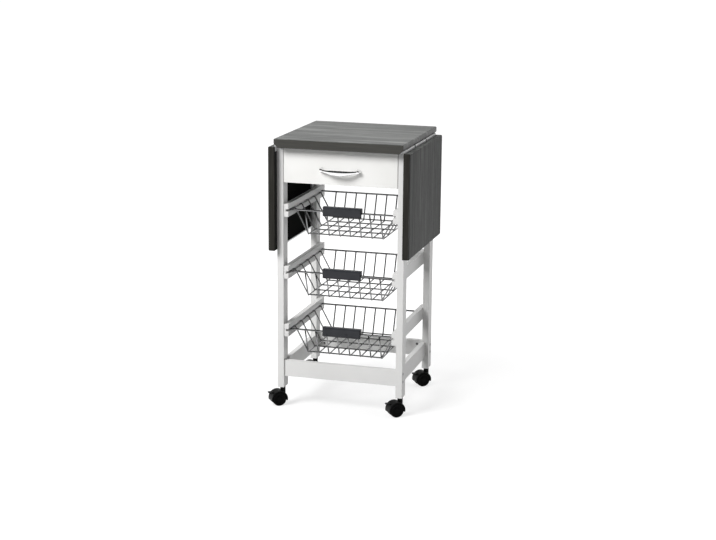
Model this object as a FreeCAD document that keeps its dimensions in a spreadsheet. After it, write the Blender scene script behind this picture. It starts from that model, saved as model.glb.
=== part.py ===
"""Kitchen cart with a drawer, sliding wire baskets, two drop leaves and braked twin-wheel casters.

Millimetres. +Z is up, the drawer faces -Y, the origin is on the floor under the middle of the worktop.
"""
import FreeCAD
import Part
import Sketcher
import math
import os

# Driving dimensions
DIMENSIONS = {
    "cart_height": 760, "top_width": 362, "top_depth": 372, "top_thick": 25,
    "top_round": 3, "edge_bevel": 11, "front_overhang": 24, "back_overhang": 14,
    "frame_inset": 1.5, "leg_wide": 18, "leg_deep": 36, "caster_height": 55,
    "leaf_drop": 288, "leaf_thick": 19, "leaf_end_gap": 4, "leaf_round": 4,
    "pin_radius": 1.3, "pin_inset": 2, "pin_under_leaf": 1, "pin_to_leaf": 3,
    "hinge_end_gap": 11, "barrel_radius": 2.4, "barrel_gap": 0.3, "flap_thick": 1.5,
    "fixed_flap_wide": 8, "leaf_flap_wide": 14, "recess_gap": 0.2,
    "stay_radius": 3, "stay_inset": 7.5, "stay_drop": 118, "stay_arm_gap": 6, "stay_end_depth": 12,
    "rail_bottom": 88, "rail_tall": 46, "rail_thick": 14, "rail_setback": 4, "side_rail_setback": 9,
    "upper_rail_tall": 45, "cap_radius": 3.6, "cap_thick": 1.2, "cap_spacing": 22,
    "runner_thick": 14, "runner_tall": 36, "runner_setback": 2,
    "groove_deep": 8, "groove_tall": 6.4, "groove_stop": 14,
    "basket_under_drawer": 78, "basket_over_rail": 17, "middle_basket_drop": 4.5,
    "rim_diameter": 5, "wire_diameter": 3.4, "rim_setback": 24, "rim_side_gap": 0.8,
    "basket_deep": 70, "basket_side_inset": 45, "basket_end_inset": 28, "basket_lip_gap": 3,
    "cross_wire_count": 5, "long_wire_count": 8, "weld_sink": 0.6,
    "grip_long": 110, "grip_above": 14, "grip_below": 12.5, "grip_front": 9, "grip_back": 7,
    "grip_slot": 3, "grip_lip": 1, "grip_round": 5,
    "drawer_side_gap": 1.5, "drawer_front_thick": 18, "drawer_front_tall": 94, "drawer_top_gap": 3,
    "drawer_board": 12, "drawer_rail_gap": 8, "drawer_back_gap": 14, "drawer_side_tall": 70,
    "drawer_back_tall": 60, "drawer_floor_thick": 4, "drawer_floor_lift": 3,
    "drawer_runner_tall": 10, "drawer_groove_deep": 7, "drawer_groove_lift": 30,
    "handle_span": 104, "handle_radius": 4.2, "handle_reach": 24, "handle_foot": 6,
    "handle_foot_radius": 5.5, "handle_drop": 54,
    "wheel_radius": 20, "wheel_wide": 11.5,
    "caster_trail": 14, "caster_yaw": 38, "caster_web": 7, "wheel_side_gap": 0.5,
    "hood_radius": 24, "hood_gap": 1, "hood_skirt": 5,
    "axle_radius": 3, "axle_boss": 7, "stem_radius": 4, "stem_boss": 7.5, "stem_boss_base": 30,
    "stem_foot": 42, "stem_in_leg": 30,
    "lever_pivot": 25.3, "lever_angle": 134, "lever_barrel": 2.2, "lever_wide": 14,
    "lever_long": 11, "lever_thick": 3.4,
    "slide_gap": 0.3, "running_gap": 0.05, "fixed_gap": 0.1,
}

# Sizes that follow from the driving ones
DERIVED = {
    "frame_width": "=top_width - 2 * frame_inset",
    "frame_depth": "=top_depth - front_overhang - back_overhang",
    "leaf_depth": "=top_depth - 2 * leaf_end_gap",
    "hinge_length": "=top_depth - 2 * hinge_end_gap",
    "drawer_box_wide": "=frame_width - 2 * (side_rail_setback + rail_thick + drawer_rail_gap)",
    "drawer_box_long": "=frame_depth - rail_setback - rail_thick - drawer_front_thick - drawer_back_gap",
    "groove_height_1": "=cart_height - top_thick - drawer_top_gap - drawer_front_tall - basket_under_drawer",
    "groove_height_3": "=rail_bottom + rail_tall + basket_deep + basket_over_rail",
    "groove_height_2": "=(groove_height_1 + groove_height_3) / 2 - middle_basket_drop",
}

doc = FreeCAD.newDocument("KitchenCart")
sheet = doc.addObject("Spreadsheet::Sheet", "Dims")
for line, (alias, size) in enumerate({**DIMENSIONS, **DERIVED}.items(), start=1):
    sheet.set("A%d" % line, alias)
    sheet.setAlias("B%d" % line, alias)
    sheet.set("B%d" % line, str(size))
doc.recompute()

nodes = []

# Places that several pieces share, as spreadsheet expressions
LEG_OUT = "Dims.frame_width / 2"
LEG_IN = "(Dims.frame_width / 2 - Dims.leg_wide)"
LEG_FRONT = "(Dims.front_overhang - Dims.top_depth / 2)"
LEG_BACK = "(Dims.front_overhang - Dims.top_depth / 2 + Dims.frame_depth)"
TOP_UNDER = "(Dims.cart_height - Dims.top_thick)"
BETWEEN_LEGS = "(Dims.frame_depth - 2 * Dims.leg_deep)"
PIN_X = "(Dims.top_width / 2 - Dims.pin_inset)"
PIN_Z = "(Dims.cart_height - Dims.leaf_thick - Dims.pin_under_leaf)"
STAY_X = "(Dims.frame_width / 2 - Dims.stay_inset)"
STAY_Z = "(%s - Dims.stay_drop)" % PIN_Z
RUNNER_IN = "(Dims.frame_width / 2 - Dims.leg_wide - Dims.runner_thick)"
RIM_HALF = "(%s + Dims.groove_deep - Dims.rim_diameter / 2 - Dims.rim_side_gap)" % RUNNER_IN
RIM_FRONT = "(%s + Dims.rim_setback)" % LEG_FRONT
RIM_BACK = "(%s - Dims.runner_setback - Dims.groove_stop - Dims.rim_diameter / 2 - Dims.slide_gap)" % LEG_BACK
LIP_HALF = "(%s - Dims.basket_lip_gap)" % RUNNER_IN
BOTTOM_HALF = "(%s - Dims.basket_side_inset)" % RIM_HALF
DRAWER_TOP = "(%s - Dims.drawer_top_gap)" % TOP_UNDER
DRAWER_LOW = "(%s - Dims.drawer_front_tall)" % DRAWER_TOP
DRAWER_BOX_LOW = "(%s + Dims.drawer_floor_lift + Dims.drawer_floor_thick)" % DRAWER_LOW
DRAWER_BOX_FRONT = "(%s + Dims.drawer_front_thick)" % LEG_FRONT
DRAWER_GROOVE_Z = "(%s + Dims.drawer_groove_lift)" % DRAWER_BOX_LOW
RAIL_CENTRES = {"front": "(%s + Dims.rail_setback + Dims.rail_thick / 2)" % LEG_FRONT,
                "back": "(%s - Dims.rail_setback - Dims.rail_thick / 2)" % LEG_BACK}
BASKET_LEVELS = (1, 2, 3)
HINGE_SEGMENTS = 3
WIRE_SIDES = 6
CAP_SIDES = 12
WHEEL_SIDES = 24

AXES = {"X": FreeCAD.Rotation(FreeCAD.Vector(0, 1, 0), 90),
        "Y": FreeCAD.Rotation(FreeCAD.Vector(1, 0, 0), -90),
        "Z": FreeCAD.Rotation()}


def number(expression):
    """Value of a spreadsheet expression."""
    return float(sheet.evalExpression(expression))


def bind(item, **expressions):
    """Tie properties to spreadsheet expressions."""
    for name, expression in expressions.items():
        item.setExpression(name, expression)
    return item


def place(item, x="0", y="0", z="0"):
    """Tie an object's position to spreadsheet expressions."""
    for axis, expression in zip("xyz", (x, y, z)):
        item.setExpression(".Placement.Base." + axis, expression)
    return item


def keep(item, label):
    """Name a finished piece and put it on the list of exported nodes."""
    item.Label = label
    nodes.append(item)
    return item


def block(label, length, width, height, x, y, z):
    box = doc.addObject("Part::Box", label)
    bind(box, Length=length, Width=width, Height=height)
    return place(box, x, y, z)


def rod(label, radius, height, axis, x, y, z):
    cylinder = doc.addObject("Part::Cylinder", label)
    cylinder.Placement.Rotation = AXES[axis]
    bind(cylinder, Radius=radius, Height=height)
    return place(cylinder, x, y, z)


def prism(label, sides, radius, height, axis, x, y, z):
    """Many-sided rod, its corners on a circle of the given radius."""
    bar = doc.addObject("Part::Prism", label)
    bar.Polygon = sides
    bar.Placement.Rotation = AXES[axis]
    bind(bar, Circumradius=radius, Height=height)
    return place(bar, x, y, z)


def join(label, pieces):
    fuse = doc.addObject("Part::MultiFuse", label)
    fuse.Shapes = pieces
    return fuse


def cut(label, base, tools):
    result = doc.addObject("Part::Cut", label)
    result.Base = base
    result.Tool = tools[0] if len(tools) == 1 else join(label + "_tools", tools)
    return result


def mirrored(label, source):
    """Left-hand twin of a right-hand piece."""
    mirror = doc.addObject("Part::Mirroring", label)
    mirror.Source = source
    mirror.Normal = FreeCAD.Vector(1, 0, 0)
    return mirror


def both_sides(label, right_piece):
    """Keep a right-hand piece and its mirrored twin."""
    keep(right_piece, label + "_right")
    keep(mirrored(label + "_left", right_piece), label + "_left")


def origin_feature(body, role):
    return [item for item in body.Origin.OriginFeatures if item.Role == role][0]


def outline(body, name, plane, points, closed=True, offset="0"):
    """Sketch of straight lines whose corners are tied to spreadsheet expressions."""
    sketch = body.newObject("Sketcher::SketchObject", name)
    sketch.AttachmentSupport = [(origin_feature(body, plane), "")]
    sketch.MapMode = "FlatFace"
    sketch.setExpression(".AttachmentOffset.Base.z", offset)
    corners = [FreeCAD.Vector(number(across), number(along), 0) for across, along in points]
    count = len(corners) if closed else len(corners) - 1
    for index in range(count):
        sketch.addGeometry(Part.LineSegment(corners[index], corners[(index + 1) % len(corners)]), False)
    for index in range(count if closed else count - 1):
        sketch.addConstraint(Sketcher.Constraint("Coincident", index, 2, (index + 1) % count, 1))
    for index, (across, along) in enumerate(points):
        line, end = (index, 1) if index < count else (index - 1, 2)
        for kind, expression in (("DistanceX", across), ("DistanceY", along)):
            added = sketch.addConstraint(Sketcher.Constraint(kind, -1, 1, line, end, number(expression)))
            name_of_constraint = "%s_%d" % (kind, index)
            sketch.renameConstraint(added, name_of_constraint)
            sketch.setExpression("Constraints." + name_of_constraint, expression)
    doc.recompute()
    return sketch


def pad(body, name, sketch, length):
    feature = body.newObject("PartDesign::Pad", name)
    feature.Profile = sketch
    feature.Midplane = True
    bind(feature, Length=length)
    doc.recompute()
    return feature


def rounded(body, name, feature, radius, chosen):
    """Fillet the edges whose two ends pass the given test."""
    edges = ["Edge%d" % (index + 1) for index, edge in enumerate(feature.Shape.Edges)
             if all(chosen(vertex.Point) for vertex in edge.Vertexes)]
    fillet = body.newObject("PartDesign::Fillet", name)
    fillet.Base = (feature, edges)
    bind(fillet, Radius=radius)
    doc.recompute()
    return fillet


def many_sided(body, name, spine, radius):
    """Regular polygon section at the start of a path, its corners on a circle of the given radius."""
    section = body.newObject("Sketcher::SketchObject", name)
    section.AttachmentSupport = [(spine, "Edge1")]
    section.MapMode = "NormalToEdge"
    section.MapPathParameter = 0.0
    reach = number(radius)
    turns = [2 * math.pi * (index + 0.5) / WIRE_SIDES for index in range(WIRE_SIDES)]
    corners = [FreeCAD.Vector(reach * math.cos(turn), reach * math.sin(turn), 0) for turn in turns]
    for index in range(WIRE_SIDES):
        section.addGeometry(Part.LineSegment(corners[index], corners[(index + 1) % WIRE_SIDES]), False)
    guide = section.addGeometry(Part.Circle(FreeCAD.Vector(), FreeCAD.Vector(0, 0, 1), reach), True)
    section.addConstraint(Sketcher.Constraint("Coincident", guide, 3, -1, 1))
    section.renameConstraint(section.addConstraint(Sketcher.Constraint("Radius", guide, reach)), "radius")
    section.setExpression("Constraints.radius", radius)
    for index in range(WIRE_SIDES):
        section.addConstraint(Sketcher.Constraint("Coincident", index, 2, (index + 1) % WIRE_SIDES, 1))
        section.addConstraint(Sketcher.Constraint("PointOnObject", index, 1, guide))
    for index in range(1, WIRE_SIDES):
        section.addConstraint(Sketcher.Constraint("Equal", 0, index))
    section.addConstraint(Sketcher.Constraint("Vertical", WIRE_SIDES - 1))
    doc.recompute()
    return section


def wire(body, name, spine, radius):
    """Sweep a many-sided section along a sketch."""
    sweep = body.newObject("PartDesign::AdditivePipe", name)
    sweep.Profile = many_sided(body, name + "Section", spine, radius)
    sweep.Spine = (spine, ["Edge%d" % (index + 1) for index in range(len(spine.Geometry))])
    sweep.Transition = "Right corner"
    doc.recompute()
    return sweep


def row(body, name, feature, axis, length, count):
    """Repeat a feature along one of the body's axes."""
    pattern = body.newObject("PartDesign::LinearPattern", name)
    pattern.Originals = [feature]
    pattern.Direction = (origin_feature(body, axis), [""])
    bind(pattern, Length=length, Occurrences=count)
    body.Tip = pattern
    doc.recompute()
    return pattern


# Worktop, its lower side edges bevelled to clear the leaf hinges
def make_worktop():
    body = doc.addObject("PartDesign::Body", "worktop")
    bevel_top = "(%s + Dims.edge_bevel)" % TOP_UNDER
    under_half = "(Dims.top_width / 2 - Dims.edge_bevel)"
    section = outline(body, "WorktopSection", "XZ_Plane", [
        ("-Dims.top_width / 2", "Dims.cart_height"), ("Dims.top_width / 2", "Dims.cart_height"),
        ("Dims.top_width / 2", bevel_top), (under_half, TOP_UNDER),
        ("-" + under_half, TOP_UNDER), ("-Dims.top_width / 2", bevel_top)])
    board = pad(body, "WorktopBoard", section, "Dims.top_depth")
    rounded(body, "WorktopRound", board, "Dims.top_round",
            lambda point: point.z > number("Dims.cart_height") - 0.01)
    keep(body, "worktop")


# Legs, bored for the caster stems and for the ends of the leaf stays
def make_legs():
    back_y = "(%s - Dims.leg_deep)" % LEG_BACK
    front_hole = "(%s + Dims.leg_deep - Dims.stay_end_depth - 1)" % LEG_FRONT
    for end, y, hole_y in (("front", LEG_FRONT, front_hole), ("back", back_y, back_y)):
        name = "leg_" + end
        blank = block(name + "_blank", "Dims.leg_wide", "Dims.leg_deep",
                      TOP_UNDER + " - Dims.caster_height", LEG_IN, y, "Dims.caster_height")
        stem_hole = rod(name + "_stem_hole", "Dims.stem_radius + Dims.fixed_gap", "Dims.stem_in_leg + 1", "Z",
                        LEG_IN + " + Dims.leg_wide / 2", y + " + Dims.leg_deep / 2", "Dims.caster_height")
        stay_hole = rod(name + "_stay_hole", "Dims.stay_radius + Dims.running_gap", "Dims.stay_end_depth + 1",
                        "Y", STAY_X, hole_y, STAY_Z)
        both_sides(name, cut(name, blank, [stem_hole, stay_hole]))


# Rails between the legs
def make_rails():
    for end, y in RAIL_CENTRES.items():
        keep(block("bottom_rail_" + end, "2 * " + LEG_IN, "Dims.rail_thick", "Dims.rail_tall",
                   "-" + LEG_IN, y + " - Dims.rail_thick / 2", "Dims.rail_bottom"), "bottom_rail_" + end)
    side_x = LEG_OUT + " - Dims.side_rail_setback - Dims.rail_thick"
    side_y = LEG_FRONT + " + Dims.leg_deep"
    both_sides("bottom_rail", block("bottom_rail_side", "Dims.rail_thick", BETWEEN_LEGS, "Dims.rail_tall",
                                    side_x, side_y, "Dims.rail_bottom"))
    upper_z = TOP_UNDER + " - Dims.upper_rail_tall"
    both_sides("upper_rail", block("upper_rail_side", "Dims.rail_thick", BETWEEN_LEGS, "Dims.upper_rail_tall",
                                   side_x, side_y, upper_z))
    keep(block("upper_rail_back", "2 * " + LEG_IN, "Dims.rail_thick", "Dims.upper_rail_tall",
               "-" + LEG_IN, RAIL_CENTRES["back"] + " - Dims.rail_thick / 2", upper_z), "upper_rail_back")


# Caps over the screws that hold the front and back rails in the legs
def make_screw_caps():
    caps = []
    for end, y in RAIL_CENTRES.items():
        for step, sign in (("low", "-"), ("high", "+")):
            z = "Dims.rail_bottom + Dims.rail_tall / 2 %s Dims.cap_spacing / 2" % sign
            for side, x in (("right", LEG_OUT), ("left", "-%s - Dims.cap_thick" % LEG_OUT)):
                caps.append(prism("cap_%s_%s_%s" % (end, step, side), CAP_SIDES,
                                  "Dims.cap_radius", "Dims.cap_thick", "X", x, y, z))
    group = doc.addObject("Part::Compound", "screw_caps")
    group.Links = caps
    keep(group, "screw_caps")


# Grooved runners that carry the baskets; each groove stops short of the back end
def make_runners():
    for level in BASKET_LEVELS:
        name = "runner_%d" % level
        height = "Dims.groove_height_%d" % level
        start = "(%s + Dims.runner_setback)" % LEG_FRONT
        bar = block(name + "_bar", "Dims.runner_thick", "Dims.frame_depth - 2 * Dims.runner_setback",
                    "Dims.runner_tall", RUNNER_IN, start, height + " - Dims.runner_tall / 2")
        groove = block(name + "_groove", "Dims.groove_deep + 1",
                       "Dims.frame_depth - 2 * Dims.runner_setback - Dims.groove_stop + 1",
                       "Dims.groove_tall", RUNNER_IN + " - 1", start + " - 1",
                       height + " - Dims.groove_tall / 2")
        both_sides(name, cut(name, bar, [groove]))


# Wire baskets: a heavy rim with two sets of thinner wires welded into it
def make_basket(level):
    name = "basket_%d" % level
    body = doc.addObject("PartDesign::Body", name)
    prefix = "Basket%d" % level
    rim = outline(body, prefix + "RimPath", "XY_Plane", [
        ("-" + RIM_HALF, RIM_FRONT), (RIM_HALF, RIM_FRONT), (RIM_HALF, RIM_BACK), ("-" + RIM_HALF, RIM_BACK)])
    wire(body, prefix + "Rim", rim, "Dims.rim_diameter / 2")
    front = "(%s + Dims.basket_end_inset)" % RIM_FRONT
    back = "(%s - Dims.basket_end_inset)" % RIM_BACK
    cross = outline(body, prefix + "CrossPath", "XZ_Plane", [
        ("-" + RIM_HALF, "0"), ("-" + LIP_HALF, "0"), ("-" + BOTTOM_HALF, "-Dims.basket_deep"),
        (BOTTOM_HALF, "-Dims.basket_deep"), (LIP_HALF, "0"), (RIM_HALF, "0")],
        closed=False, offset="-" + front)
    row(body, prefix + "CrossRow", wire(body, prefix + "Cross", cross, "Dims.wire_diameter / 2"),
        "Y_Axis", back + " - " + front, "Dims.cross_wire_count")
    floor = "-(Dims.basket_deep + Dims.wire_diameter - Dims.weld_sink)"
    along = outline(body, prefix + "LongPath", "YZ_Plane", [
        (RIM_FRONT, "0"), (front, floor), (back, floor), (RIM_BACK, "0")],
        closed=False, offset="-" + BOTTOM_HALF)
    row(body, prefix + "LongRow", wire(body, prefix + "Long", along, "Dims.wire_diameter / 2"),
        "X_Axis", "2 * " + BOTTOM_HALF, "Dims.long_wire_count")
    groove_floor = "Dims.groove_height_%d - Dims.groove_tall / 2" % level
    rim_height = "(%s + Dims.slide_gap + Dims.rim_diameter / 2)" % groove_floor
    keep(place(body, z=rim_height), name)
    make_grip(level, rim_height)


# Grip that hooks over the front rim
def make_grip(level, rim_height):
    name = "grip_%d" % level
    body = doc.addObject("PartDesign::Body", name)
    hook = outline(body, "GripSection%d" % level, "YZ_Plane", [
        ("-Dims.grip_front", "-Dims.grip_below"), ("-Dims.grip_front", "Dims.grip_above"),
        ("Dims.grip_back", "Dims.grip_above"), ("Dims.grip_back", "-Dims.grip_lip"),
        ("Dims.grip_slot", "-Dims.grip_lip"), ("Dims.grip_slot", "Dims.grip_slot"),
        ("-Dims.grip_slot", "Dims.grip_slot"), ("-Dims.grip_slot", "-Dims.grip_below")])
    bar = pad(body, "GripBar%d" % level, hook, "Dims.grip_long")
    rounded(body, "GripRound%d" % level, bar, "Dims.grip_round",
            lambda point: point.y < -number("Dims.grip_front") + 0.01)
    keep(place(body, y=RIM_FRONT, z=rim_height), name)


# Drop leaf, let in for the moving flap of its hinge
def make_leaf():
    body = doc.addObject("PartDesign::Body", "leaf_board")
    inner = "(%s + Dims.pin_under_leaf)" % PIN_X
    outer = "(%s + Dims.leaf_thick)" % inner
    upper = "(%s - Dims.pin_to_leaf)" % PIN_Z
    lower = "(%s - Dims.leaf_drop)" % upper
    section = outline(body, "LeafSection", "XZ_Plane",
                      [(inner, lower), (outer, lower), (outer, upper), (inner, upper)])
    board = pad(body, "LeafBoard", section, "Dims.leaf_depth")
    rounded(body, "LeafRound", board, "Dims.leaf_round", lambda point: point.x > number(outer) - 0.01)
    recess = block("leaf_recess", "Dims.flap_thick + Dims.recess_gap + 1",
                   "Dims.hinge_length + 2 * Dims.recess_gap",
                   "Dims.leaf_flap_wide + Dims.recess_gap + 1", inner + " - 1",
                   "-Dims.hinge_length / 2 - Dims.recess_gap",
                   upper + " - Dims.leaf_flap_wide - Dims.recess_gap")
    both_sides("leaf", cut("leaf", body, [recess]))


# Continuous hinge: knuckles of the two flaps take turns along the pin
def make_hinge():
    segment = "(Dims.hinge_length / %d)" % HINGE_SEGMENTS
    reach = "((%s + Dims.edge_bevel - %s - Dims.pin_inset) / sqrt(2))" % (TOP_UNDER, PIN_Z)
    fixed_flap = doc.addObject("Part::Box", "fixed_flap")
    fixed_flap.Placement.Rotation = FreeCAD.Rotation(FreeCAD.Vector(0, 1, 0), 135)
    bind(fixed_flap, Length="Dims.fixed_flap_wide", Width="Dims.hinge_length", Height="Dims.flap_thick")
    place(fixed_flap, "%s - %s / sqrt(2)" % (PIN_X, reach), "-Dims.hinge_length / 2",
          "%s + %s / sqrt(2)" % (PIN_Z, reach))
    inner = "(%s + Dims.pin_under_leaf)" % PIN_X
    flap_low = "(%s - Dims.pin_to_leaf - Dims.leaf_flap_wide)" % PIN_Z
    leaf_flap = block("leaf_flap", "Dims.flap_thick", "Dims.hinge_length", "%s - %s" % (PIN_Z, flap_low),
                      inner, "-Dims.hinge_length / 2", flap_low)
    knuckles = {0: [], 1: []}
    notches = {0: [], 1: []}
    for index in range(HINGE_SEGMENTS):
        start = "(%d * %s - Dims.hinge_length / 2)" % (index, segment)
        knuckles[index % 2].append(rod("knuckle_%d" % index, "Dims.barrel_radius",
                                       segment + " - Dims.barrel_gap", "Y", PIN_X,
                                       start + " + Dims.barrel_gap / 2", PIN_Z))
        notches[1 - index % 2].append(rod("notch_%d" % index, "Dims.barrel_radius + Dims.barrel_gap", segment,
                                          "Y", PIN_X, start, PIN_Z))
    for turn, name, flap in ((0, "hinge_fixed", fixed_flap), (1, "hinge_moving", leaf_flap)):
        bore = rod(name + "_bore", "Dims.pin_radius + Dims.running_gap", "Dims.hinge_length + 2", "Y",
                   PIN_X, "-Dims.hinge_length / 2 - 1", PIN_Z)
        notched = cut(name + "_notched", flap, notches[turn])
        both_sides(name, cut(name, join(name + "_solid", [notched] + knuckles[turn]), [bore]))
    both_sides("hinge_pin", rod("hinge_pin", "Dims.pin_radius", "Dims.hinge_length", "Y",
                                PIN_X, "-Dims.hinge_length / 2", PIN_Z))


# Wire stay that swings up under the raised leaf
def make_stay():
    body = doc.addObject("PartDesign::Body", "stay")
    near = "(%s + Dims.leg_deep)" % LEG_FRONT
    far = "(%s - Dims.leg_deep)" % LEG_BACK
    swing = "((Dims.stay_drop + Dims.pin_under_leaf - Dims.stay_radius - Dims.slide_gap) * sqrt(2))"
    low = "(%s - %s)" % (STAY_Z, swing)
    path = outline(body, "StayPath", "YZ_Plane", [
        (near + " - Dims.stay_end_depth", STAY_Z), (near + " + Dims.stay_arm_gap", STAY_Z),
        (near + " + Dims.stay_arm_gap", low), (far + " - Dims.stay_arm_gap", low),
        (far + " - Dims.stay_arm_gap", STAY_Z), (far + " + Dims.stay_end_depth", STAY_Z)],
        closed=False, offset=STAY_X)
    wire(body, "StayWire", path, "Dims.stay_radius")
    both_sides("stay", body)


# Drawer: front, grooved sides, back and floor, on plain runners
def make_drawer():
    half = "(Dims.drawer_box_wide / 2)"
    front_half = "(%s - Dims.drawer_side_gap)" % LEG_IN
    keep(block("drawer_front", "2 * " + front_half, "Dims.drawer_front_thick", "Dims.drawer_front_tall",
               "-" + front_half, LEG_FRONT, DRAWER_LOW), "drawer_front")
    board = block("drawer_side_board", "Dims.drawer_board", "Dims.drawer_box_long", "Dims.drawer_side_tall",
                  half + " - Dims.drawer_board", DRAWER_BOX_FRONT, DRAWER_BOX_LOW)
    groove = block("drawer_side_groove", "Dims.drawer_groove_deep + 1", "Dims.drawer_box_long + 2",
                   "Dims.drawer_runner_tall + 2 * Dims.slide_gap", half + " - Dims.drawer_groove_deep",
                   DRAWER_BOX_FRONT + " - 1", DRAWER_GROOVE_Z + " - Dims.slide_gap")
    both_sides("drawer_side", cut("drawer_side", board, [groove]))
    inner_half = "(%s - Dims.drawer_board)" % half
    keep(block("drawer_back", "2 * " + inner_half, "Dims.drawer_board", "Dims.drawer_back_tall",
               "-" + inner_half, DRAWER_BOX_FRONT + " + Dims.drawer_box_long - Dims.drawer_board",
               DRAWER_BOX_LOW), "drawer_back")
    keep(block("drawer_floor", "Dims.drawer_box_wide", "Dims.drawer_box_long", "Dims.drawer_floor_thick",
               "-" + half, DRAWER_BOX_FRONT, DRAWER_BOX_LOW + " - Dims.drawer_floor_thick"), "drawer_floor")
    runner_in = "(%s - Dims.drawer_groove_deep + Dims.slide_gap)" % half
    runner_start = "(%s + Dims.slide_gap)" % DRAWER_BOX_FRONT
    runner_long = "%s - Dims.runner_setback - %s" % (LEG_BACK, runner_start)
    both_sides("drawer_runner", block("drawer_runner_bar", "%s - %s" % (LEG_IN, runner_in), runner_long,
                                      "Dims.drawer_runner_tall", runner_in, runner_start, DRAWER_GROOVE_Z))


# Bow handle on two feet
def make_handle():
    body = doc.addObject("PartDesign::Body", "handle_bow")
    half = "(Dims.handle_span / 2)"
    rise = "(Dims.handle_reach - Dims.handle_radius - Dims.handle_foot)"
    bow_radius = "((%s ^ 2 + %s ^ 2) / (2 * %s))" % (half, rise, rise)
    ends = "(%s - Dims.handle_foot)" % LEG_FRONT
    middle = "(%s - %s)" % (ends, rise)
    path = body.newObject("Sketcher::SketchObject", "HandlePath")
    path.AttachmentSupport = [(origin_feature(body, "XY_Plane"), "")]
    path.MapMode = "FlatFace"
    height = "(%s - Dims.handle_drop)" % DRAWER_TOP
    path.setExpression(".AttachmentOffset.Base.z", height)
    corner = FreeCAD.Vector(number(half), number(ends), 0)
    crown = FreeCAD.Vector(0, number(middle), 0)
    path.addGeometry(Part.Arc(FreeCAD.Vector(-corner.x, corner.y, 0), crown, corner), False)
    for kind, end, expression in (("DistanceX", 1, "-" + half), ("DistanceY", 1, ends),
                                  ("DistanceX", 2, half), ("DistanceY", 2, ends)):
        added = path.addConstraint(Sketcher.Constraint(kind, -1, 1, 0, end, number(expression)))
        path.renameConstraint(added, "%s_%d" % (kind, end))
        path.setExpression("Constraints.%s_%d" % (kind, end), expression)
    path.renameConstraint(path.addConstraint(Sketcher.Constraint("Radius", 0, number(bow_radius))), "bow")
    path.setExpression("Constraints.bow", bow_radius)
    doc.recompute()
    wire(body, "HandleBow", path, "Dims.handle_radius")
    feet = [rod("handle_foot_" + side, "Dims.handle_foot_radius", "Dims.handle_foot + Dims.handle_radius / 2",
                "Y", sign + half, ends + " - Dims.handle_radius / 2", height)
            for side, sign in (("left", "-"), ("right", ""))]
    keep(join("drawer_handle", [body] + feet), "drawer_handle")


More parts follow.
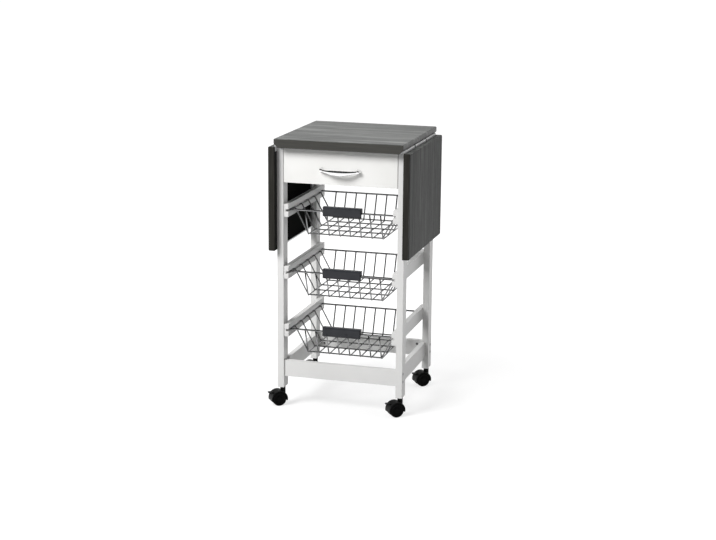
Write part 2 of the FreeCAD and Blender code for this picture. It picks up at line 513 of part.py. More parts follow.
# Twin-wheel caster, drawn with its stem on the origin and its wheels trailing towards -X
def make_caster(name, x, y):
    def turned(item, label):
        item.Placement.Rotation = FreeCAD.Rotation(FreeCAD.Vector(0, 0, 1), number("Dims.caster_yaw"))
        item.setExpression(".Placement.Rotation.Angle", "Dims.caster_yaw")
        keep(place(item, x, y), label)

    hub_x = "-Dims.caster_trail"
    hub_z = "Dims.wheel_radius"
    inner = "(Dims.caster_web / 2 + Dims.wheel_side_gap)"
    half = "(%s + Dims.wheel_wide)" % inner
    space = "(Dims.wheel_radius + Dims.hood_gap)"
    boss_top = "(Dims.caster_height - Dims.slide_gap)"

    # Stem, fixed in the leg
    stem_long = "Dims.caster_height + Dims.stem_in_leg - Dims.stem_foot"
    keep(rod(name + "_stem", "Dims.stem_radius", stem_long, "Z", x, y, "Dims.stem_foot"), name + "_stem")

    # Hood: a round cover, open below, with a web between the wheels
    drum = prism(name + "_drum", WHEEL_SIDES, "Dims.hood_radius", "2 * " + half, "Y",
                 hub_x, "-" + half, hub_z)
    below = block(name + "_below", "2 * Dims.hood_radius", "2 * " + half, "Dims.hood_radius",
                  hub_x + " - Dims.hood_radius", "-" + half,
                  hub_z + " - Dims.hood_skirt - Dims.hood_radius")
    cover = cut(name + "_cover", drum, [below])
    axle_boss = rod(name + "_axle_boss", "Dims.axle_boss", "Dims.caster_web", "Y",
                    hub_x, "-Dims.caster_web / 2", hub_z)
    stem_boss = rod(name + "_stem_boss", "Dims.stem_boss", boss_top + " - Dims.stem_boss_base", "Z",
                    "0", "0", "Dims.stem_boss_base")
    lever_x = "(%s + Dims.lever_pivot * cos(Dims.lever_angle))" % hub_x
    lever_z = "(%s + Dims.lever_pivot * sin(Dims.lever_angle))" % hub_z
    hollows = [
        prism(name + "_wheel_space_a", WHEEL_SIDES, space, half, "Y", hub_x, "Dims.caster_web / 2", hub_z),
        prism(name + "_wheel_space_b", WHEEL_SIDES, space, half, "Y",
              hub_x, "-Dims.caster_web / 2 - " + half, hub_z),
        rod(name + "_axle_bore", "Dims.axle_radius + Dims.running_gap", "2 * " + half, "Y",
            hub_x, "-" + half, hub_z),
        rod(name + "_stem_bore", "Dims.stem_radius + Dims.running_gap", "Dims.caster_height", "Z", "0", "0",
            "Dims.stem_foot - Dims.slide_gap"),
        rod(name + "_lever_seat", "Dims.lever_barrel + Dims.slide_gap",
            "Dims.lever_wide + 2 * Dims.slide_gap", "Y",
            lever_x, "-Dims.lever_wide / 2 - Dims.slide_gap", lever_z)]
    hood = cut(name + "_hood", join(name + "_hood_solid", [cover, axle_boss, stem_boss]), hollows)
    turned(hood, name + "_hood")

    # Wheel pair on its axle
    axle_half = "(%s + Dims.wheel_wide / 2)" % inner
    pieces = [rod(name + "_axle", "Dims.axle_radius", "2 * " + axle_half, "Y", hub_x, "-" + axle_half, hub_z)]
    for side, start in (("a", inner), ("b", "-" + half)):
        pieces.append(prism(name + "_tyre_" + side, WHEEL_SIDES, "Dims.wheel_radius", "Dims.wheel_wide",
                            "Y", hub_x, start, hub_z))
    turned(join(name + "_wheels", pieces), name + "_wheels")

    # Brake lever
    barrel = rod(name + "_lever_barrel", "Dims.lever_barrel", "Dims.lever_wide", "Y",
                 lever_x, "-Dims.lever_wide / 2", lever_z)
    tab = block(name + "_lever_tab", "Dims.lever_long", "Dims.lever_wide", "Dims.lever_thick",
                lever_x + " - Dims.lever_long", "-Dims.lever_wide / 2", lever_z + " - Dims.lever_thick / 2")
    turned(join(name + "_lever", [barrel, tab]), name + "_lever")


def make_casters():
    across = "(%s + Dims.leg_wide / 2)" % LEG_IN
    front = "(%s + Dims.leg_deep / 2)" % LEG_FRONT
    back = "(%s - Dims.leg_deep / 2)" % LEG_BACK
    make_caster("caster_front_left", "-" + across, front)
    make_caster("caster_front_right", across, front)
    make_caster("caster_back_left", "-" + across, back)
    make_caster("caster_back_right", across, back)


make_worktop()
make_legs()
make_rails()
make_screw_caps()
make_runners()
for basket_level in BASKET_LEVELS:
    make_basket(basket_level)
make_leaf()
make_hinge()
make_stay()
make_drawer()
make_handle()
make_casters()
doc.recompute()

# Check every object, then write one file per piece
for item in doc.Objects:
    if "Invalid" in item.State or "Error" in item.State:
        raise RuntimeError("%s did not recompute: %s" % (item.Label, item.State))
os.makedirs("parts", exist_ok=True)
for item in nodes:
    if item.Shape.isNull() or not item.Shape.isValid():
        raise RuntimeError("%s has no valid shape" % item.Label)
    item.Shape.exportStep("parts/%s.step" % item.Label)
print("%d nodes" % len(nodes))
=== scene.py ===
"""Kitchen cart: looks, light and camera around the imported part. Metres, same frame as the CAD."""
import math

import bpy
from mathutils import Matrix, Vector


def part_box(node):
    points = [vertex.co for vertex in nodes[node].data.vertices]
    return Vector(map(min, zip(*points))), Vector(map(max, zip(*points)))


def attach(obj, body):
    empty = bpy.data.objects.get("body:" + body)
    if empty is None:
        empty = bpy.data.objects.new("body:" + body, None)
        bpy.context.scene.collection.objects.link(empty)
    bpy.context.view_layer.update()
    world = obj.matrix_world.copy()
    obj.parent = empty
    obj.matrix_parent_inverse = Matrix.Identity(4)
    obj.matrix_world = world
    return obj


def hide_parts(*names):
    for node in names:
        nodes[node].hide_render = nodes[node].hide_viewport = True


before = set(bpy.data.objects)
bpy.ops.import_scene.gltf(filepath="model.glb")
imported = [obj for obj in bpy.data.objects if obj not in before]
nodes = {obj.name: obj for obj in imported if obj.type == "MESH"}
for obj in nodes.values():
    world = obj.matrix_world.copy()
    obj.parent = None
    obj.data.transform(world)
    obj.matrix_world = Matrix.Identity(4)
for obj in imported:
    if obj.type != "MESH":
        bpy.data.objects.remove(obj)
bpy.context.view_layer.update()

scene = bpy.context.scene

# Camera, fitted to the photograph
CAMERA_AT = Vector((1.2276, -4.2064, 1.4085))
LOOK_AT = Vector((0.005, 0.0, 0.3687))
CAMERA_ROLL = 0.0077
CAMERA_LENS = 80.2
SENSOR_WIDTH = 36.0
VIEW_LIMIT = 100.0

# Edges of the boards, and how deep their edging and the painted shade on the leaves' inner faces reach
LEAF_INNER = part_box("leaf_right")[0].x
LEAF_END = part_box("leaf_right")[1].y
TOP_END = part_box("worktop")[1].y
EDGING_DEEP = 0.0004
INNER_SHADE_DEEP = 0.0002

# Softening of the CAD pieces' edges
SEAM_GAP = 0.00001
SOFT_SEGMENTS = 2
SOFT_ANGLE = math.radians(35)
NORMAL_WEIGHT = 90

# Baskets
RIM_RADIUS = 0.0025
RIM_SIDES = 14
RIM_CORNER = 0.012
WIRE_RADIUS = 0.0020
WIRE_SIDES = 10
WIRE_SUNK = 0.0012
WIRE_BEND = 0.008
BEND_STEPS = 6
BASKET_SIDE_INSET = 0.045
BASKET_END_INSET = 0.028
BASKET_DEEP = 0.070
BASKET_LIP_GAP = 0.003
CROSS_WIRES = 5
LONG_WIRES = 8

# Drawer handle; the root is the share of its reach that the bow keeps at its feet
HANDLE_SPAN = 0.104
HANDLE_THICK = 0.0034
HANDLE_SLIM = 0.0036
HANDLE_TALL = 0.0074
HANDLE_SAG = 0.0040
HANDLE_ROOT = 0.34
HANDLE_STEPS = 36
HANDLE_SIDES = 16

# Handle's foot as (distance from the drawer, radius) pairs
FOOT_PROFILE = [(0.0, 0.0), (0.0, 0.0070), (0.0012, 0.0072), (0.0026, 0.0064), (0.0050, 0.0052),
                (0.0080, 0.0049), (0.0104, 0.0046), (0.0120, 0.0036), (0.0126, 0.0)]
FOOT_SIDES = 24

# Caster wheels: dish as (inset, distance from the tread) pairs, hub cap as (inset, radius) pairs
CASTER_YAW = math.radians(38.0)
WHEEL_INNER = 0.0040
WHEEL_OUTER = 0.0155
WHEEL_ROUND = 0.0028
WHEEL_SIDES = 48
SHOULDER_TURNS = [math.radians(angle) for angle in range(0, 91, 18)]
WHEEL_DISH = [(0.0, 0.0050), (0.0004, 0.0058), (0.0022, 0.0066)]
HUB_CAP = [(0.0024, 0.0078), (0.0010, 0.0070), (0.0006, 0.0060), (0.0004, 0.0)]
AXLE_RADIUS = 0.003
AXLE_SIDES = 20

# Hinge knuckles and barrel nuts
HINGE_KNUCKLES = 3
KNUCKLE_START = 0.06
BARREL_FROM_END = 0.020
BARREL_RADIUS = 0.0036
BARREL_PROUD = 0.0003
BARREL_SIDES = 24

# White floor: size, levels, and where the shadow starts and ends its fade
FLOOR_HALF = 30.0
FLOOR_BASE = 0.32
FLOOR_LIFT = 0.70
SHADOW_NEAR = 0.35
SHADOW_FAR = 1.3

# Room: levels, and the directions between which each white wall fades
CEILING = 0.04
ROOM_LIGHT = 0.10
LOW_WALL_TOP = (0.10, 0.16)
HIGH_WALL_TOP = (0.30, 0.42)
HIGH_WALL_SIDE = (0.5, 0.8)

# Lamps: name, place, aim, size and power
LAMPS = [
    ("key", (-1.8, -2.6, 3.0), (0, 0, 0.4), 1.8, 212),
    ("side", (3.0, -0.8, 1.4), (0, 0, 0.4), 1.6, 15),
    ("above", (0.0, 0.5, 3.0), (0, 0, 0.7), 1.6, 55),
]


# Helpers for shader nodes
def grey(level):
    return (level, level, level)


def stretched(along, across, lengthwise):
    """Scale of a pattern that is drawn out along one axis."""
    scale = [across, across, across]
    scale["XYZ".index(along)] = lengthwise
    return scale


def fade(tree, value, start, end, first, last, curve="LINEAR"):
    """Map a value from a start and an end to a first and a last level."""
    node = tree.nodes.new("ShaderNodeMapRange")
    node.interpolation_type = curve
    tree.links.new(value, node.inputs["Value"])
    for socket, level in (("From Min", start), ("From Max", end), ("To Min", first), ("To Max", last)):
        node.inputs[socket].default_value = level
    return node.outputs["Result"]


def combine(tree, operation, first, second):
    """One number out of two."""
    node = tree.nodes.new("ShaderNodeMath")
    node.operation = operation
    tree.links.new(first, node.inputs[0])
    tree.links.new(second, node.inputs[1])
    return node.outputs[0]


def seen_ray(tree):
    """1 for rays that show the background: from the camera, in reflections and through glass."""
    rays = tree.nodes.new("ShaderNodeLightPath")
    found = rays.outputs["Is Camera Ray"]
    for kind in ("Is Glossy Ray", "Is Transmission Ray"):
        found = combine(tree, "MAXIMUM", found, rays.outputs[kind])
    return found


class Paint:
    """A node material with a Principled shader and short ways to add nodes."""

    def __init__(self, name, **constants):
        self.material = bpy.data.materials.new(name)
        self.material.use_nodes = True
        self.tree = self.material.node_tree
        self.shader = self.tree.nodes["Principled BSDF"]
        self.finish(**constants)

    def add(self, kind, links=None, **settings):
        node = self.tree.nodes.new(kind)
        for name, value in settings.items():
            setattr(node, name, value)
        for socket, source in (links or {}).items():
            self.feed(node.inputs[socket], source)
        return node

    def feed(self, socket, source):
        if isinstance(source, bpy.types.NodeSocket):
            self.tree.links.new(source, socket)
        else:
            socket.default_value = source

    def place(self, scale=(1, 1, 1)):
        """Coordinates of the object itself, stretched."""
        where = self.add("ShaderNodeTexCoord")
        links = {"Vector": where.outputs["Object"], "Scale": scale}
        return self.add("ShaderNodeMapping", links).outputs["Vector"]

    def axis(self, name):
        """One coordinate of the object itself."""
        return self.add("ShaderNodeSeparateXYZ", {0: self.place()}).outputs[name]

    def beyond(self, axis, distance):
        """1 where the object is further than a distance from the cart's middle along one axis, else 0."""
        away = self.add("ShaderNodeMath", {0: self.axis(axis)}, operation="ABSOLUTE")
        further = self.add("ShaderNodeMath", {0: away.outputs[0], 1: distance}, operation="GREATER_THAN")
        return further.outputs[0]

    def noise(self, vector, scale, detail=3.0, roughness=0.5, distortion=0.0):
        links = {"Vector": vector, "Scale": scale, "Detail": detail, "Roughness": roughness,
                 "Distortion": distortion}
        return self.add("ShaderNodeTexNoise", links).outputs["Fac"]

    def ramp(self, value, stops):
        """Colours along a value; stops are (place, colour) pairs."""
        node = self.add("ShaderNodeValToRGB", {"Fac": value})
        points = node.color_ramp.elements
        while len(points) < len(stops):
            points.new(0.5)
        for point, (at, colour) in zip(points, stops):
            point.position = at
            point.color = (*colour, 1)
        return node.outputs["Color"]

    def tones(self, value, dark, light):
        """Two colours that change softly into each other."""
        return self.ramp(value, [(0.3, dark), (0.7, light)])

    def span(self, value, low, high):
        """Value from 0 to 1 spread between two numbers."""
        return fade(self.tree, value, 0.0, 1.0, low, high)

    def mix(self, share, first, second, mode="MIX"):
        node = self.add("ShaderNodeMix", data_type="RGBA", blend_type=mode)
        colours = [socket for socket in node.inputs if socket.type == "RGBA"]
        self.feed(node.inputs[0], share)
        self.feed(colours[0], first)
        self.feed(colours[1], second)
        return [socket for socket in node.outputs if socket.type == "RGBA"][0]

    def bump(self, height, strength, distance, under=None):
        links = {"Height": height, "Strength": strength, "Distance": distance}
        if under is not None:
            links["Normal"] = under
        return self.add("ShaderNodeBump", links).outputs["Normal"]

    def finish(self, **sockets):
        for name, source in sockets.items():
            self.feed(self.shader.inputs[name.replace("_", " ")], source)
        return self.material


# Dark wood-grain laminate with darker edging; the grain runs along one axis of the board. On a leaf board the
# inner face gets near-black painted shade and no sheen.
BOARD_GROUND = [(0.30, (0.034, 0.035, 0.034)), (0.52, (0.066, 0.068, 0.066)), (0.70, (0.112, 0.114, 0.110))]
BOARD_LINES = [(0.32, grey(0.28)), (0.50, grey(1.0)), (0.68, grey(1.80))]
BOARD_SPECKS = [(0.34, grey(0.40)), (0.46, grey(1.0))]
# Near-black painted shade for the inner faces of the leaves
BOARD_INNER_SHADE = (0.026, 0.026, 0.025, 1)


def make_dark_board(name, along, end, edge, level, shine, inner_shade=False):
    paint = Paint(name, Specular_IOR_Level=shine)
    board = paint.place(stretched(along, 34.0, 1.6))
    broad = paint.noise(board, 1.0, detail=5.0, roughness=0.62, distortion=0.7)
    streaks = paint.noise(board, 4.5, detail=6.0, roughness=0.7, distortion=0.25)
    pores = paint.noise(paint.place(stretched(along, 260.0, 9.0)), 1.6, detail=3.0, roughness=0.6)
    # level multiplies the ground colour; the worktop's higher level is painted light
    ground = paint.ramp(broad, [(at, tuple(part * level for part in colour)) for at, colour in BOARD_GROUND])
    lines = paint.ramp(streaks, BOARD_LINES)
    grain = paint.mix(1.0, ground, lines, "MULTIPLY")
    colour = paint.mix(0.6, grain, paint.ramp(pores, BOARD_SPECKS), "MULTIPLY")
    edging = paint.mix(0.5, (*edge, 1), lines, "MULTIPLY")
    colour = paint.mix(paint.beyond("Y", end - EDGING_DEEP), colour, edging)
    rough = paint.span(streaks, 0.30, 0.64)
    # Painted shade: a leaf's inner face is near black and has no sheen
    if inner_shade:
        outside = paint.beyond("X", LEAF_INNER + INNER_SHADE_DEEP)
        colour = paint.mix(outside, BOARD_INNER_SHADE, colour)
        paint.finish(Specular_IOR_Level=paint.span(outside, 0.0, shine))
    relief = paint.bump(pores, 0.25, 0.0004, under=paint.bump(streaks, 0.40, 0.0010))
    return paint.finish(Base_Color=colour, Roughness=rough, Normal=relief)


# White lacquer on board, with a faint brush of the wood underneath
FRAME_WHITE = (0.690, 0.688, 0.680), (0.740, 0.738, 0.730)
DRAWER_WHITE = (0.790, 0.785, 0.765), (0.840, 0.838, 0.822)
WOOD_UNDER_WHITE = (0.60, 0.59, 0.56, 1)


def make_white_lacquer(name, along, whites):
    paint = Paint(name, Specular_IOR_Level=0.5, Coat_Weight=0.15, Coat_Roughness=0.2)
    brushed = paint.noise(paint.place(stretched(along, 60.0, 3.0)), 1.4, detail=4.0, roughness=0.6)
    cloud = paint.noise(paint.place(), 7.0)
    peel = paint.noise(paint.place(), 420.0, detail=2.0)
    colour = paint.mix(paint.span(brushed, 0.0, 0.05), paint.tones(cloud, *whites), WOOD_UNDER_WHITE)
    rough = paint.span(cloud, 0.30, 0.42)
    relief = paint.bump(peel, 0.06, 0.0004, under=paint.bump(brushed, 0.10, 0.0005))
    return paint.finish(Base_Color=colour, Roughness=rough, Normal=relief)


# Dark, smooth plating on steel wire
def make_plated_wire(name):
    paint = Paint(name, Metallic=1.0)
    cloud = paint.noise(paint.place(), 60.0)
    grit = paint.noise(paint.place(), 1800.0, detail=2.0)
    colour = paint.tones(cloud, (0.220, 0.222, 0.226), (0.270, 0.271, 0.274))
    rough = paint.span(cloud, 0.10, 0.18)
    return paint.finish(Base_Color=colour, Roughness=rough, Normal=paint.bump(grit, 0.08, 0.0002))


# Moulded plastic with a fine spark-eroded grain
def make_plastic(name, dark, light, rough_low, rough_high, grain=1500.0, shine=0.4):
    paint = Paint(name, Specular_IOR_Level=shine)
    cloud = paint.noise(paint.place(), 35.0, detail=4.0)
    grit = paint.noise(paint.place(), grain, detail=2.0)
    colour = paint.tones(cloud, dark, light)
    rough = paint.span(cloud, rough_low, rough_high)
    return paint.finish(Base_Color=colour, Roughness=rough, Normal=paint.bump(grit, 0.25, 0.0003))


# Bright metals, finely scratched along one axis
def make_metal(name, dark, light, rough_low, rough_high, along="Y", scratch=0.08):
    paint = Paint(name, Metallic=1.0)
    lines = paint.noise(paint.place(stretched(along, 900.0, 30.0)), 1.0)
    cloud = paint.noise(paint.place(), 45.0)
    colour = paint.tones(cloud, dark, light)
    rough = paint.span(cloud, rough_low, rough_high)
    return paint.finish(Base_Color=colour, Roughness=rough, Normal=paint.bump(lines, scratch, 0.0002))


# Zinc-plated hinge, with painted shade in the gaps where one knuckle meets the next
def make_hinge_metal(name):
    paint = Paint(name, Metallic=0.15)
    low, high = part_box("hinge_pin_right")
    along = fade(paint.tree, paint.axis("Y"), low.y, high.y, KNUCKLE_START, HINGE_KNUCKLES - KNUCKLE_START)
    share = paint.add("ShaderNodeMath", {0: along}, operation="FRACT")
    dark, bright = grey(0.02), grey(1.0)
    # Painted shade: near-black bands at the gaps between knuckles
    knuckle_gap_shade = paint.ramp(share.outputs[0], [(0.03, dark), (0.05, bright), (0.95, bright), (0.97, dark)])
    cloud = paint.noise(paint.place(), 45.0)
    zinc = paint.tones(cloud, (0.84, 0.85, 0.86), (0.92, 0.92, 0.92))
    colour = paint.mix(1.0, zinc, knuckle_gap_shade, "MULTIPLY")
    return paint.finish(Base_Color=colour, Roughness=paint.span(cloud, 0.26, 0.38))


# The worktop and the leaves are one laminate: the worktop's copy is painted lighter as painted light (level
# 1.60 against 1.12, slightly lighter edging) and has more sheen
TOP_BOARD = make_dark_board("dark_board_top", "X", TOP_END, (0.030, 0.029, 0.025), 1.60, 0.50)
# The leaves carry painted shade on their inner faces
LEAF_BOARD = make_dark_board("dark_board_leaf", "Z", LEAF_END, (0.027, 0.026, 0.023), 1.12, 0.04, inner_shade=True)
LACQUER = {axis: make_white_lacquer("white_lacquer_" + axis.lower(), axis, FRAME_WHITE) for axis in "XYZ"}
DRAWER_LACQUER = make_white_lacquer("white_lacquer_drawer", "X", DRAWER_WHITE)
WIRE = make_plated_wire("grey_wire")
GRIP = make_plastic("grip_plastic", (0.026, 0.027, 0.031), (0.035, 0.036, 0.041), 0.24, 0.34, shine=0.17)
CAP = make_plastic("cap_plastic", grey(0.36), grey(0.44), 0.40, 0.52)
CASTER = make_plastic("caster_plastic", grey(0.004), grey(0.007), 0.36, 0.50, shine=0.10)
TYRE = make_plastic("caster_tyre", grey(0.003), grey(0.006), 0.50, 0.66, grain=900.0, shine=0.05)
CHROME = make_metal("chrome", grey(0.80), grey(0.88), 0.05, 0.12, along="X", scratch=0.02)
HINGE = make_hinge_metal("hinge_zinc")
ZINC = make_metal("zinc_steel", (0.66, 0.67, 0.68), (0.78, 0.78, 0.78), 0.22, 0.36)
BARREL = make_metal("barrel_steel", grey(0.10), grey(0.16), 0.36, 0.50)
STEM = make_metal("stem_steel", (0.40, 0.41, 0.42), (0.55, 0.55, 0.56), 0.28, 0.42, along="Z")


# Finish of each kind of CAD node: start of its name, material, width of the softened edge; first match counts
FINISHES = [
    ("worktop", TOP_BOARD, 0.0016),
    ("leaf_", LEAF_BOARD, 0.0016),
    ("leg_", LACQUER["Z"], 0.0010),
    ("bottom_rail_front", LACQUER["X"], 0.0010),
    ("bottom_rail_back", LACQUER["X"], 0.0010),
    ("bottom_rail_", LACQUER["Y"], 0.0010),
    ("upper_rail_back", LACQUER["X"], 0.0010),
    ("upper_rail_", LACQUER["Y"], 0.0010),
    ("runner_", LACQUER["Y"], 0.0007),
    ("drawer_runner_", LACQUER["Y"], 0.0005),
    ("drawer_handle", CHROME, 0.0),
    ("drawer_front", DRAWER_LACQUER, 0.0012),
    ("drawer_back", LACQUER["X"], 0.0006),
    ("drawer_", LACQUER["Y"], 0.0006),
    ("screw_caps", CAP, 0.0004),
    ("basket_", WIRE, 0.0),
    ("grip_", GRIP, 0.0008),
    ("hinge_", HINGE, 0.0002),
    ("stay_", ZINC, 0.0),
]
CASTER_FINISHES = {"stem": (STEM, 0.0), "hood": (CASTER, 0.0006), "wheels": (TYRE, 0.0012),
                   "lever": (CASTER, 0.0006)}


def finish_of(name):
    if name.startswith("caster_"):
        return CASTER_FINISHES[name.rsplit("_", 1)[1]]
    return next((material, edge) for start, material, edge in FINISHES if name.startswith(start))


def soften(piece, edge):
    """Close the seams of an imported mesh, round its edges a little and shade it smoothly."""
    piece.data.polygons.foreach_set("use_smooth", [True] * len(piece.data.polygons))
    weld = piece.modifiers.new("weld", "WELD")
    weld.merge_threshold = SEAM_GAP
    if edge > 0:
        bevel = piece.modifiers.new("edges", "BEVEL")
        bevel.width = edge
        bevel.segments = SOFT_SEGMENTS
        bevel.limit_method = "ANGLE"
        bevel.angle_limit = SOFT_ANGLE
    normals = piece.modifiers.new("normals", "WEIGHTED_NORMAL")
    normals.weight = NORMAL_WEIGHT


def dress_cad_nodes():
    for name, piece in nodes.items():
        material, edge = finish_of(name)
        piece.data.materials.clear()
        piece.data.materials.append(material)
        if "custom_normal" in piece.data.attributes:
            piece.data.attributes.remove(piece.data.attributes["custom_normal"])
        soften(piece, edge)


# Shapes as lists of vertices and faces
def circle(centre, side, up, radius, sides):
    """Points of a circle that two directions span."""
    angles = [2 * math.pi * turn / sides for turn in range(sides)]
    return [centre + (side * math.cos(angle) + up * math.sin(angle)) * radius for angle in angles]


def bent(points, bend, closed=False):
    """Path with its corners rounded."""
    path = []
    count = len(points)
    for index, corner in enumerate(points):
        if not closed and index in (0, count - 1):
            path.append(corner)
            continue
        before = (points[index - 1] - corner).normalized()
        after = (points[(index + 1) % count] - corner).normalized()
        reach = bend / math.tan(before.angle(after) / 2)
        start, end = corner + before * reach, corner + after * reach
        for step in range(BEND_STEPS + 1):
            share = step / BEND_STEPS
            path.append(start.lerp(corner, share).lerp(corner.lerp(end, share), share))
    return path


def tube(points, radius, sides, closed=False):
    """Round tube along a path, with flat ends where the path is open."""
    vertices, faces = [], []
    count = len(points)
    side = None
    for index, point in enumerate(points):
        before = points[index - 1] if closed or index > 0 else point
        after = points[(index + 1) % count] if closed or index < count - 1 else point
        ahead = (after - before).normalized()
        if side is None:
            side = ahead.orthogonal().normalized()
        side = (side - ahead * side.dot(ahead)).normalized()
        vertices += circle(point, side, ahead.cross(side), radius, sides)
    rings = count if closed else count - 1
    for ring in range(rings):
        here, there = ring * sides, ((ring + 1) % count) * sides
        for turn in range(sides):
            turned = (turn + 1) % sides
            faces.append((here + turn, here + turned, there + turned, there + turn))
    if not closed:
        last = (count - 1) * sides
        faces.append(tuple(reversed(range(sides))))
        faces.append(tuple(last + turn for turn in range(sides)))
    return vertices, faces


def lathe(profile, base, axis, sides):
    """Turned shape; the profile is (distance along the axis, radius) pairs."""
    vertices, faces = [], []
    side = axis.orthogonal().normalized()
    up = axis.cross(side)
    for along, radius in profile:
        vertices += circle(base + axis * along, side, up, radius, sides)
    for ring in range(len(profile) - 1):
        here, there = ring * sides, (ring + 1) * sides
        for turn in range(sides):
            turned = (turn + 1) % sides
            if profile[ring][1] == 0:
                faces.append((here, there + turned, there + turn))
            elif profile[ring + 1][1] == 0:
                faces.append((here + turn, here + turned, there))
            else:
                faces.append((here + turn, here + turned, there + turned, there + turn))
    return only_used(vertices, faces)


def only_used(vertices, faces):
    """Keep only the vertices that faces use."""
    used = sorted({corner for face in faces for corner in face})
    place = {corner: index for index, corner in enumerate(used)}
    kept = [vertices[corner] for corner in used]
    return kept, [tuple(place[corner] for corner in face) for face in faces]


def make_piece(name, parts, material, body, stands_for=()):
    """One smooth mesh object out of several lots of vertices and faces, riding on a body."""
    vertices, faces = [], []
    for part_vertices, part_faces in parts:
        start = len(vertices)
        vertices += [tuple(vertex) for vertex in part_vertices]
        faces += [tuple(start + corner for corner in face) for face in part_faces]
    mesh = bpy.data.meshes.new(name)
    mesh.from_pydata(vertices, [], faces)
    mesh.materials.append(material)
    mesh.polygons.foreach_set("use_smooth", [len(face) <= 4 for face in faces])
    mesh.update()
    piece = bpy.data.objects.new(name, mesh)
    scene.collection.objects.link(piece)
    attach(piece, body)
    if stands_for:
        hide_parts(*stands_for)


# Wire baskets: bent round wires in place of the six-sided ones
def make_basket(level):
    basket = "basket_%d" % level
    low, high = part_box(basket)
    rim_z = high.z - RIM_RADIUS
    half = high.x - RIM_RADIUS
    front, back = low.y + RIM_RADIUS, high.y - RIM_RADIUS
    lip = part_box("runner_%d_right" % level)[0].x - BASKET_LIP_GAP
    floor_half = half - BASKET_SIDE_INSET
    floor_front, floor_back = front + BASKET_END_INSET, back - BASKET_END_INSET
    cross_z = rim_z - BASKET_DEEP
    long_z = cross_z - 2 * WIRE_RADIUS + WIRE_SUNK
    rim = [Vector((-half, front, rim_z)), Vector((half, front, rim_z)),
           Vector((half, back, rim_z)), Vector((-half, back, rim_z))]
    parts = [tube(bent(rim, RIM_CORNER, closed=True), RIM_RADIUS, RIM_SIDES, closed=True)]
    for index in range(CROSS_WIRES):
        y = floor_front + (floor_back - floor_front) * index / (CROSS_WIRES - 1)
        path = [Vector((-half, y, rim_z)), Vector((-lip, y, rim_z)), Vector((-floor_half, y, cross_z)),
                Vector((floor_half, y, cross_z)), Vector((lip, y, rim_z)), Vector((half, y, rim_z))]
        parts.append(tube(bent(path, WIRE_BEND / 2), WIRE_RADIUS, WIRE_SIDES))
    for index in range(LONG_WIRES):
        x = floor_half * (2 * index / (LONG_WIRES - 1) - 1)
        path = [Vector((x, front, rim_z)), Vector((x, floor_front, long_z)),
                Vector((x, floor_back, long_z)), Vector((x, back, rim_z))]
        parts.append(tube(bent(path, WIRE_BEND), WIRE_RADIUS, WIRE_SIDES))
    make_piece("basket_wires_%d" % level, parts, WIRE, basket, [basket])


# Bow handle: a band that is tall in the middle and slim at its flared feet
def make_handle():
    low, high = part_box("drawer_handle")
    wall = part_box("drawer_front")[0].y
    middle = Vector(((low.x + high.x) / 2, wall, (low.z + high.z) / 2))
    half = HANDLE_SPAN / 2
    reach = wall - low.y - HANDLE_THICK
    vertices, faces = [], []
    for step in range(HANDLE_STEPS + 1):
        along = 2 * step / HANDLE_STEPS - 1
        arch = 1 - along * along
        rise = -reach * (HANDLE_ROOT + (1 - HANDLE_ROOT) * arch)
        ahead = Vector((half, reach * 2 * (1 - HANDLE_ROOT) * along, 0)).normalized()
        out = Vector((ahead.y, -ahead.x, 0))
        centre = middle + Vector((half * along, rise, -HANDLE_SAG * arch))
        tall = HANDLE_SLIM + (HANDLE_TALL - HANDLE_SLIM) * arch ** 2
        vertices += circle(centre, out * HANDLE_THICK, Vector((0, 0, tall)), 1, HANDLE_SIDES)
    for step in range(HANDLE_STEPS):
        here, there = step * HANDLE_SIDES, (step + 1) * HANDLE_SIDES
        for turn in range(HANDLE_SIDES):
            turned = (turn + 1) % HANDLE_SIDES
            faces.append((here + turn, there + turn, there + turned, here + turned))
    faces.append(tuple(range(HANDLE_SIDES)))
    faces.append(tuple(reversed(range(HANDLE_STEPS * HANDLE_SIDES, (HANDLE_STEPS + 1) * HANDLE_SIDES))))
    parts = [(vertices, faces)]
    for side in (-1, 1):
        base = middle + Vector((side * half, 0, 0))
        parts.append(lathe(FOOT_PROFILE, base, Vector((0, -1, 0)), FOOT_SIDES))
    make_piece("handle_bow", parts, CHROME, "drawer", ["drawer_handle"])


# Caster wheels with rounded treads, dished faces and hub caps, on a common axle
def make_wheels(name):
    low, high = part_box(name + "_wheels")
    centre = (low + high) / 2
    axis = Vector((-math.sin(CASTER_YAW), math.cos(CASTER_YAW), 0))
    radius = (high.z - low.z) / 2
    core = radius - WHEEL_ROUND
    shoulder = [(WHEEL_ROUND * (1 - math.cos(turn)), core + WHEEL_ROUND * math.sin(turn))
                for turn in SHOULDER_TURNS]
    profile = [(WHEEL_INNER, 0.0)]
    profile += [(WHEEL_INNER + inset, at) for inset, at in shoulder]
    profile += [(WHEEL_OUTER - inset, at) for inset, at in reversed(shoulder)]
    profile += [(WHEEL_OUTER - inset, radius - under) for inset, under in WHEEL_DISH]
    profile += [(WHEEL_OUTER - inset, at) for inset, at in HUB_CAP]
    parts = [lathe(profile, centre, side, WHEEL_SIDES) for side in (axis, -axis)]
    axle = [(-WHEEL_INNER, 0.0), (-WHEEL_INNER, AXLE_RADIUS), (WHEEL_INNER, AXLE_RADIUS), (WHEEL_INNER, 0.0)]
    parts.append(lathe(axle, centre, axis, AXLE_SIDES))
    make_piece(name + "_wheel_pair", parts, TYRE, name + "_wheels", [name + "_wheels"])


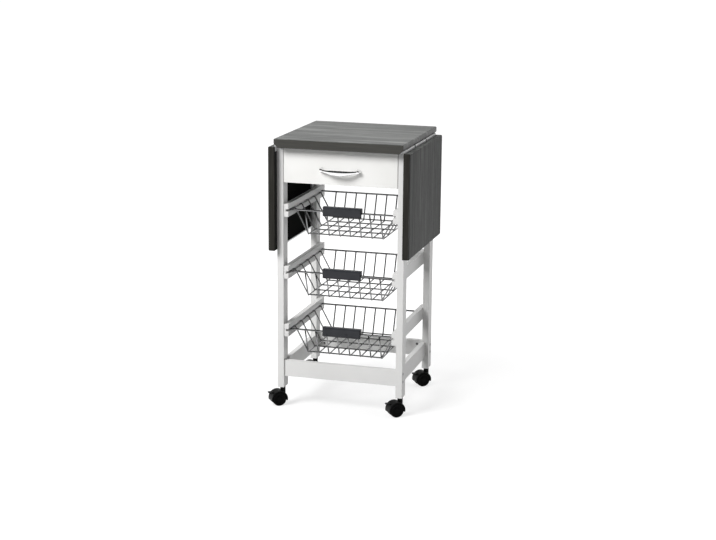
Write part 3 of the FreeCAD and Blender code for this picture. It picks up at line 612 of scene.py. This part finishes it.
# Barrel nuts of the screws, flush in the inner faces of the front and back bottom rails
def make_barrel_nuts():
    caps_low, caps_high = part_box("screw_caps")
    rounded = BARREL_RADIUS - BARREL_PROUD
    profile = [(0.0, BARREL_RADIUS), (BARREL_PROUD, rounded), (BARREL_PROUD, 0.0)]
    parts = []
    for rail, inward in (("bottom_rail_front", 1), ("bottom_rail_back", -1)):
        low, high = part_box(rail)
        face = high.y if inward > 0 else low.y
        for x in (low.x + BARREL_FROM_END, high.x - BARREL_FROM_END):
            for z in (caps_low.z + BARREL_RADIUS, caps_high.z - BARREL_RADIUS):
                parts.append(lathe(profile, Vector((x, face, z)), Vector((0, inward, 0)), BARREL_SIDES))
    make_piece("barrel_nuts", parts, BARREL, "frame")


# Floor, light and camera
def make_floor():
    """White floor that keeps the shadow near the cart and fades into the white background."""
    paint = Paint("floor_white", Roughness=0.9, Base_Color=(*grey(FLOOR_BASE), 1),
                  Emission_Color=(1, 1, 1, 1))
    away = paint.add("ShaderNodeVectorMath", {0: paint.place()}, operation="LENGTH").outputs["Value"]
    lift = fade(paint.tree, away, SHADOW_NEAR, SHADOW_FAR, FLOOR_LIFT, 1.0, curve="SMOOTHSTEP")
    paint.finish(Emission_Strength=combine(paint.tree, "MULTIPLY", lift, seen_ray(paint.tree)))
    mesh = bpy.data.meshes.new("floor")
    corners = [(x * FLOOR_HALF, y * FLOOR_HALF, 0) for x, y in ((-1, -1), (1, -1), (1, 1), (-1, 1))]
    mesh.from_pydata(corners, [], [(0, 1, 2, 3)])
    mesh.materials.append(paint.material)
    floor = bpy.data.objects.new("floor", mesh)
    scene.collection.objects.link(floor)


def make_world():
    """White backdrop all round, higher at the back, under a dim ceiling, and a plain level of light."""
    world = bpy.data.worlds.new("studio")
    scene.world = world
    world.use_nodes = True
    tree = world.node_tree
    where = tree.nodes.new("ShaderNodeTexCoord")
    split = tree.nodes.new("ShaderNodeSeparateXYZ")
    tree.links.new(where.outputs["Generated"], split.inputs[0])
    low_wall = fade(tree, split.outputs["Z"], *LOW_WALL_TOP, 1.0, CEILING)
    high_wall = fade(tree, split.outputs["Z"], *HIGH_WALL_TOP, 1.0, 0.0)
    at_back = fade(tree, split.outputs["Y"], *HIGH_WALL_SIDE, 0.0, 1.0)
    backdrop = combine(tree, "MAXIMUM", low_wall, combine(tree, "MULTIPLY", at_back, high_wall))
    strength = tree.nodes.new("ShaderNodeMix")
    strength.inputs["A"].default_value = ROOM_LIGHT
    tree.links.new(seen_ray(tree), strength.inputs["Factor"])
    tree.links.new(backdrop, strength.inputs["B"])
    background = tree.nodes["Background"]
    background.inputs["Color"].default_value = (1, 1, 1, 1)
    tree.links.new(strength.outputs["Result"], background.inputs["Strength"])


def make_lamp(name, at, aim, size, power):
    """Square lamp that lights the cart but isn't mirrored in it."""
    data = bpy.data.lights.new(name, "AREA")
    data.shape = "SQUARE"
    data.size = size
    data.energy = power
    lamp = bpy.data.objects.new(name, data)
    lamp.location = at
    lamp.rotation_euler = (Vector(aim) - Vector(at)).to_track_quat("-Z", "Y").to_euler()
    lamp.visible_glossy = False
    scene.collection.objects.link(lamp)


def make_camera():
    data = bpy.data.cameras.new("camera")
    data.sensor_width = SENSOR_WIDTH
    data.lens = CAMERA_LENS
    data.clip_end = VIEW_LIMIT
    camera = bpy.data.objects.new("camera", data)
    look = (LOOK_AT - CAMERA_AT).to_track_quat("-Z", "Y").to_matrix()
    turned = look @ Matrix.Rotation(CAMERA_ROLL, 3, "Z")
    camera.matrix_world = Matrix.Translation(CAMERA_AT) @ turned.to_4x4()
    scene.collection.objects.link(camera)
    scene.camera = camera


dress_cad_nodes()
for basket_level in (1, 2, 3):
    make_basket(basket_level)
make_handle()
make_barrel_nuts()
for corner in ("front_left", "front_right", "back_left", "back_right"):
    make_wheels("caster_" + corner)
make_floor()
make_world()
for lamp_values in LAMPS:
    make_lamp(*lamp_values)
make_camera()
scene.view_settings.view_transform = "Standard"
